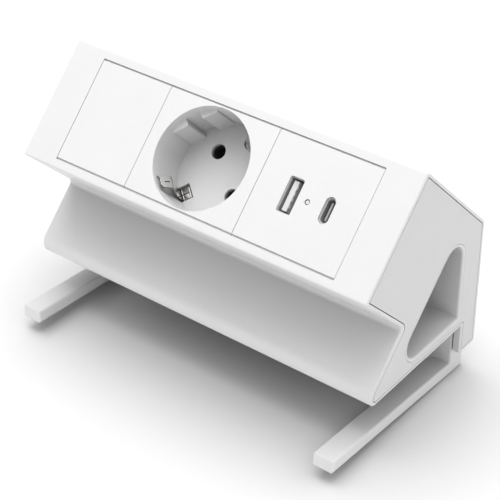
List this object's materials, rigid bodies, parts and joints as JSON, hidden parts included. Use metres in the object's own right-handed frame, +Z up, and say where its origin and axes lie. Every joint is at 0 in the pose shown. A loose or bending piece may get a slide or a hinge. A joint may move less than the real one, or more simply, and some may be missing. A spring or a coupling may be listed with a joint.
{
  "type": "desk power strip",
  "caption": "Desk-edge power unit: extruded body with a sloping front, an earthed socket and USB ports, a cable channel, and clamp arms under the desk.",
  "frame": {"origin": "mid-length of the unit, on the line where the plane of the desk top meets the front of the rear lip", "axes": "+X along the unit to its right end seen from the user, +Y away from the user past the desk's edge, +Z up"},
  "size_m": [0.1562, 0.0872, 0.1075],
  "materials": {
    "white_profile": "satin",
    "white_arm": "satin",
    "white_cap": "matte",
    "white_module": "matte",
    "black_moulding": "matte",
    "nickel_contact": "polished",
    "brass": "satin",
    "zinc_steel": "satin",
    "port_steel": "satin",
    "tin_contact": "satin",
    "white_tongue": "matte",
    "grey_tongue": "matte",
    "clear_pipe": "gloss",
    "green_board": "satin",
    "component": "satin",
    "wire_brown": "satin",
    "wire_blue": "satin",
    "wire_green": "satin",
    "slide_plastic": "satin",
    "pad_rubber": "matte"
  },
  "bodies": {
    "unit": {"housing": "white_profile", "end_cap_left": "white_cap", "end_cap_right": "white_cap", "blank_plate": "white_module", "socket_plate": "white_module", "usb_plate": "white_module", "module_frame": "black_moulding", "socket_base": "black_moulding", "charger_case": "black_moulding", "inlet_body": "black_moulding", "earth_strap": "nickel_contact", "inlet_pins": "nickel_contact", "pin_sleeves": "brass", "socket_terminals": "brass", "terminal_screws": "zinc_steel", "socket_screw": "zinc_steel", "inlet_screws": "zinc_steel", "nut_plates": "zinc_steel", "usb_a_shell": "port_steel", "usb_c_shell": "port_steel", "usb_a_contacts": "tin_contact", "usb_a_tongue": "white_tongue", "usb_c_tongue": "grey_tongue", "charger_terminals": "grey_tongue", "led_pipe": "clear_pipe", "charger_led": "clear_pipe", "charger_board": "green_board", "charger_transformer": "component", "charger_capacitors": "component", "wire_live": "wire_brown", "wire_neutral": "wire_blue", "charger_wires": "wire_blue", "wire_earth": "wire_green", "arm_guides": "slide_plastic", "desk_pads": "pad_rubber"},
    "clamp_left": {"arm_left": "white_arm"},
    "bolt_left": {"screw_left": "zinc_steel"},
    "clamp_right": {"arm_right": "white_arm"},
    "bolt_right": {"screw_right": "zinc_steel"}
  },
  "joints": [
    {"name": "clamp_left_slide", "type": "slide", "parent": "unit", "child": "clamp_left", "axis": [0, 0, -1], "range_m": [0, 0.018]},
    {"name": "bolt_left_turn", "type": "hinge", "parent": "clamp_left", "child": "bolt_left", "pos_m": [-0.07035, 0.00435, -0.0216], "axis": [0, 0, -1], "range_deg": [0, 9258]},
    {"name": "clamp_right_slide", "type": "slide", "parent": "unit", "child": "clamp_right", "axis": [0, 0, -1], "range_m": [0, 0.018]},
    {"name": "bolt_right_turn", "type": "hinge", "parent": "clamp_right", "child": "bolt_right", "pos_m": [0.07035, 0.00435, -0.0216], "axis": [0, 0, -1], "range_deg": [0, 9258]}
  ],
  "couplings": [
    {"joint": "bolt_left_turn", "follows": "clamp_left_slide", "rad_per_m": 8976},
    {"joint": "bolt_right_turn", "follows": "clamp_right_slide", "rad_per_m": 8976}
  ]
}
